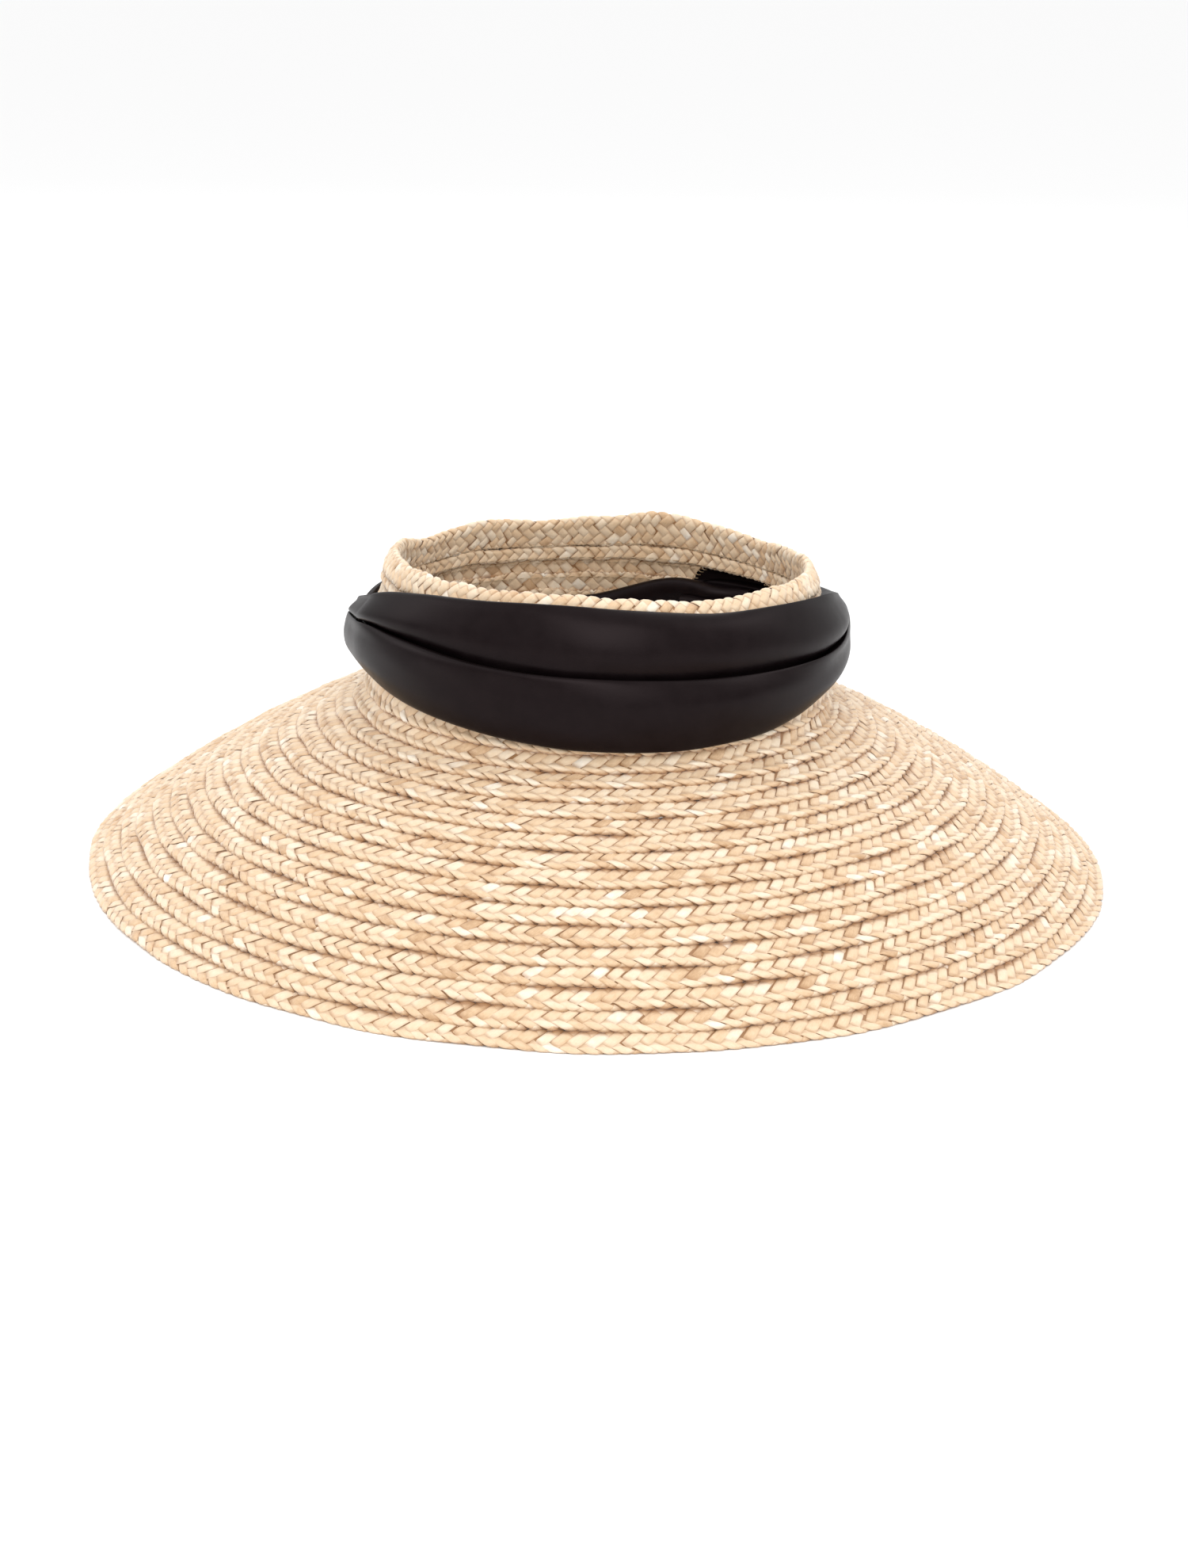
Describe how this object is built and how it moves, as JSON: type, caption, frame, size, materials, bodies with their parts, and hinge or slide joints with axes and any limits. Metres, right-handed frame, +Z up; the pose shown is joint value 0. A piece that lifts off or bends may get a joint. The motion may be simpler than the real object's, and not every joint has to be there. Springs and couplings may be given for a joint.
{
  "type": "sun visor",
  "caption": "Open-crown straw sun visor: sewn plait collar and wide sloping brim, with a black satin scarf threaded through slots in the collar.",
  "frame": {"origin": "middle of the footprint, on the surface that the brim's outer edge rests on", "axes": "+Z up through the open crown, -Y towards the front of the visor, +X towards the wearer's left hand side"},
  "size_m": [0.3918, 0.4018, 0.1164],
  "materials": {
    "straw_plait": "satin",
    "satin": "satin",
    "ribbon": "matte",
    "thread": "matte"
  },
  "bodies": {
    "visor": {"rim_fold_plait": "straw_plait", "rim_facing_plait": "straw_plait", "collar_row_1": "straw_plait", "collar_row_2": "straw_plait", "collar_row_3": "straw_plait", "collar_row_4": "straw_plait", "collar_row_5": "straw_plait", "collar_row_6": "straw_plait", "collar_row_7": "straw_plait", "brim_row_1": "straw_plait", "brim_row_2": "straw_plait", "brim_row_3": "straw_plait", "brim_row_4": "straw_plait", "brim_row_5": "straw_plait", "brim_row_6": "straw_plait", "brim_row_7": "straw_plait", "brim_row_8": "straw_plait", "brim_row_9": "straw_plait", "brim_row_10": "straw_plait", "brim_row_11": "straw_plait", "brim_row_12": "straw_plait", "brim_row_13": "straw_plait", "brim_row_14": "straw_plait", "brim_row_15": "straw_plait", "sweatband": "ribbon", "rim_stitching": "thread", "collar_stitching": "thread", "brim_stitching": "thread", "slot_stitching_right": "thread", "slot_stitching_left": "thread", "scarf_front": "satin"},
    "tail_right": {"scarf_tail_right": "satin"},
    "tail_left": {"scarf_tail_left": "satin"}
  },
  "joints": [
    {"name": "tail_right_swing", "type": "hinge", "parent": "visor", "child": "tail_right", "pos_m": [0.05187, 0.05853, 0.0755], "axis": [0, 0, 1], "range_deg": [0, 75]},
    {"name": "tail_left_swing", "type": "hinge", "parent": "visor", "child": "tail_left", "pos_m": [-0.05187, 0.05853, 0.0755], "axis": [0, 0, -1], "range_deg": [0, 75]}
  ]
}
